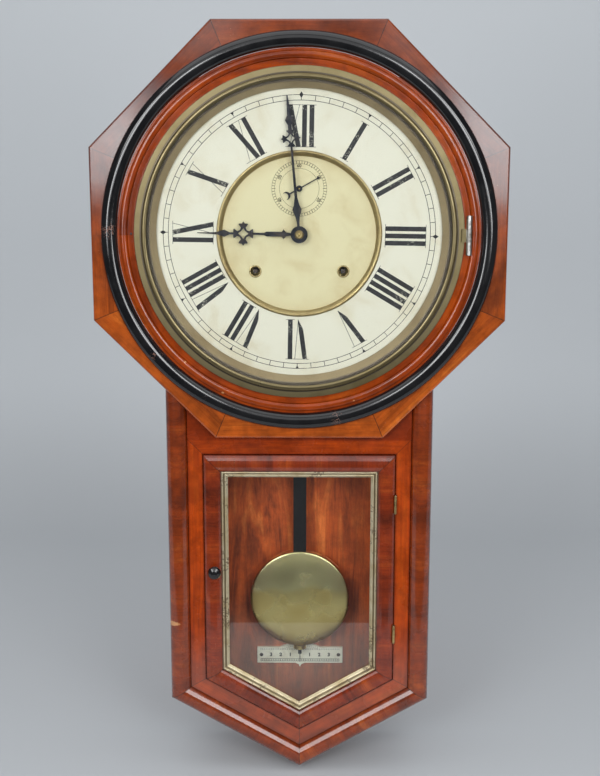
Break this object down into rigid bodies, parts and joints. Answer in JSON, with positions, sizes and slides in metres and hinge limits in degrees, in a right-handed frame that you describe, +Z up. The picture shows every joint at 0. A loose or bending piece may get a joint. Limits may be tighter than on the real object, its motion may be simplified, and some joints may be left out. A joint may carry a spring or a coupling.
{
  "type": "wall clock",
  "caption": "Octagon-headed wall clock with a pointed drop case, round hinged bezel, glazed door, swinging pendulum, spring-driven time train and gong strike.",
  "frame": {"origin": "centre of the hanger hole on the wall plane", "axes": "+Z up, +Y into the wall, front towards -Y, +X to the right seen from the front"},
  "size_m": [0.432, 0.1135, 0.8172],
  "materials": {
    "wood_red": "satin",
    "wood_orange": "satin",
    "wood_back": "satin",
    "wood_black": "gloss",
    "gilt": "gilded",
    "glass": "clear",
    "dial_white": "matt paint",
    "dial_cream": "matt paint",
    "silvered": "silvered",
    "brass_aged": "aged",
    "brass": "polished",
    "steel": "bright",
    "steel_blue": "blued",
    "iron": "painted"
  },
  "bodies": {
    "case": {"backboard": "wood_back", "side_boards": "wood_red", "bottom_boards": "wood_red", "top_board": "wood_red", "front_frame": "wood_orange", "case_moulding": "wood_red", "octagon_rails": "wood_orange", "ebonised_ring": "wood_black", "surround_ring": "wood_red", "chapter_ring": "dial_white", "dial_centre": "dial_cream", "dial_bead_ring": "brass_aged", "scale_plate": "silvered", "hanger_plate": "steel", "door_hinge_leaves_case": "brass", "hinge_pins": "steel", "bezel_hinge_leaf_case": "steel", "front_plate": "brass", "back_plate": "brass", "plate_pillars": "brass", "movement_feet": "brass", "suspension_cock": "brass", "time_mainspring": "steel_blue", "strike_mainspring": "steel_blue", "gong": "steel_blue", "gong_stand": "iron"},
    "bezel_door": {"bezel": "brass_aged", "bezel_glass": "glass", "sight_ring": "brass_aged", "bezel_hinge_leaf": "steel"},
    "door": {"door_frame": "wood_red", "door_slip": "gilt", "door_glass": "glass", "door_glass_stops": "wood_back", "door_knob": "wood_black", "door_hinge_leaves": "brass"},
    "centre_arbor": {"centre_wheel": "brass", "minute_hand": "steel_blue", "hand_collet": "brass_aged"},
    "hour_pipe": {"hour_wheel": "brass", "hour_hand": "steel_blue"},
    "minute_arbor": {"minute_wheel": "brass"},
    "second_arbor": {"second_wheel": "brass"},
    "third_arbor": {"third_wheel": "brass"},
    "escape_arbor": {"escape_wheel": "brass", "seconds_hand": "steel_blue"},
    "time_great": {"time_great_wheel": "brass"},
    "time_winding": {"time_winding_arbor": "steel"},
    "strike_great": {"strike_great_wheel": "brass"},
    "strike_winding": {"strike_winding_arbor": "steel"},
    "pin_arbor": {"strike_pin_wheel": "brass"},
    "strike_third": {"strike_third_wheel": "brass"},
    "fly": {"strike_fly": "brass"},
    "hammer": {"hammer": "steel"},
    "verge": {"verge": "steel"},
    "pendulum": {"suspension_spring": "steel", "pendulum_rod": "wood_black"},
    "bob": {"pendulum_bob": "brass"},
    "nut": {"rating_nut": "brass"}
  },
  "joints": [
    {"name": "bezel_swing", "type": "hinge", "parent": "case", "child": "bezel_door", "pos_m": [0.1753, -0.1105, -0.14], "axis": [0, 0, 1], "range_deg": [0, 100]},
    {"name": "door_swing", "type": "hinge", "parent": "case", "child": "door", "pos_m": [0.1045, -0.0986, -0.508], "axis": [0, 0, 1], "range_deg": [0, 105]},
    {"name": "minute_turn", "type": "hinge", "parent": "case", "child": "centre_arbor", "pos_m": [0, -0.057, -0.14], "axis": [0, 1, 0], "continuous": true},
    {"name": "hour_turn", "type": "hinge", "parent": "case", "child": "hour_pipe", "pos_m": [0, -0.09, -0.14], "axis": [0, 1, 0], "continuous": true},
    {"name": "minute_wheel_turn", "type": "hinge", "parent": "case", "child": "minute_arbor", "pos_m": [0, -0.08, -0.164], "axis": [0, 1, 0], "continuous": true},
    {"name": "second_turn", "type": "hinge", "parent": "case", "child": "second_arbor", "pos_m": [0.02876, -0.057, -0.14147], "axis": [0, 1, 0], "continuous": true},
    {"name": "third_turn", "type": "hinge", "parent": "case", "child": "third_arbor", "pos_m": [0.01506, -0.057, -0.11545], "axis": [0, 1, 0], "continuous": true},
    {"name": "escape_turn", "type": "hinge", "parent": "case", "child": "escape_arbor", "pos_m": [0, -0.057, -0.0928], "axis": [0, 1, 0], "continuous": true},
    {"name": "time_great_turn", "type": "hinge", "parent": "case", "child": "time_great", "pos_m": [0.04625, -0.067, -0.179], "axis": [0, 1, 0], "continuous": true},
    {"name": "time_winding_turn", "type": "hinge", "parent": "time_great", "child": "time_winding", "pos_m": [0.04625, -0.057, -0.179], "axis": [0, 1, 0], "range_deg": [0, 2880]},
    {"name": "pin_wheel_turn", "type": "hinge", "parent": "case", "child": "pin_arbor", "pos_m": [-0.05344, -0.057, -0.13823], "axis": [0, 1, 0], "continuous": true},
    {"name": "strike_great_turn", "type": "hinge", "parent": "case", "child": "strike_great", "pos_m": [-0.04625, -0.067, -0.179], "axis": [0, 1, 0], "continuous": true},
    {"name": "strike_winding_turn", "type": "hinge", "parent": "strike_great", "child": "strike_winding", "pos_m": [-0.04625, -0.057, -0.179], "axis": [0, 1, 0], "range_deg": [0, 2880]},
    {"name": "strike_third_turn", "type": "hinge", "parent": "case", "child": "strike_third", "pos_m": [-0.04681, -0.057, -0.1135], "axis": [0, 1, 0], "continuous": true},
    {"name": "fly_turn", "type": "hinge", "parent": "case", "child": "fly", "pos_m": [-0.03701, -0.057, -0.09653], "axis": [0, 1, 0], "continuous": true},
    {"name": "hammer_lift", "type": "hinge", "parent": "case", "child": "hammer", "pos_m": [-0.084, -0.057, -0.13], "axis": [0, 1, 0], "range_deg": [0, 6]},
    {"name": "pendulum_swing", "type": "hinge", "parent": "case", "child": "pendulum", "pos_m": [0, -0.026, -0.05886], "axis": [0, 1, 0], "range_deg": [-4, 4], "deforming": ["suspension_spring"]},
    {"name": "verge_rock", "type": "hinge", "parent": "case", "child": "verge", "pos_m": [0, -0.057, -0.05886], "axis": [0, 1, 0], "range_deg": [-4, 4]},
    {"name": "bob_slide", "type": "slide", "parent": "pendulum", "child": "bob", "axis": [0, 0, 1], "range_m": [-0.006, 0.006]},
    {"name": "nut_turn", "type": "hinge", "parent": "bob", "child": "nut", "pos_m": [0, -0.026, -0.626], "axis": [0, 0, 1], "range_deg": [-2160, 2160]}
  ],
  "couplings": [
    {"joint": "hour_turn", "follows": "minute_turn", "ratio": 0.083333},
    {"joint": "minute_wheel_turn", "follows": "minute_turn", "ratio": -0.33333},
    {"joint": "second_turn", "follows": "minute_turn", "ratio": -0.33333},
    {"joint": "third_turn", "follows": "minute_turn", "ratio": -8},
    {"joint": "escape_turn", "follows": "minute_turn", "ratio": 60},
    {"joint": "time_great_turn", "follows": "minute_turn", "ratio": 0.041667},
    {"joint": "strike_great_turn", "follows": "pin_wheel_turn", "ratio": -0.125},
    {"joint": "strike_third_turn", "follows": "pin_wheel_turn", "ratio": -7},
    {"joint": "fly_turn", "follows": "pin_wheel_turn", "ratio": 42},
    {"joint": "verge_rock", "follows": "pendulum_swing", "ratio": 1},
    {"joint": "nut_turn", "follows": "bob_slide", "rad_per_m": 6283.2}
  ]
}
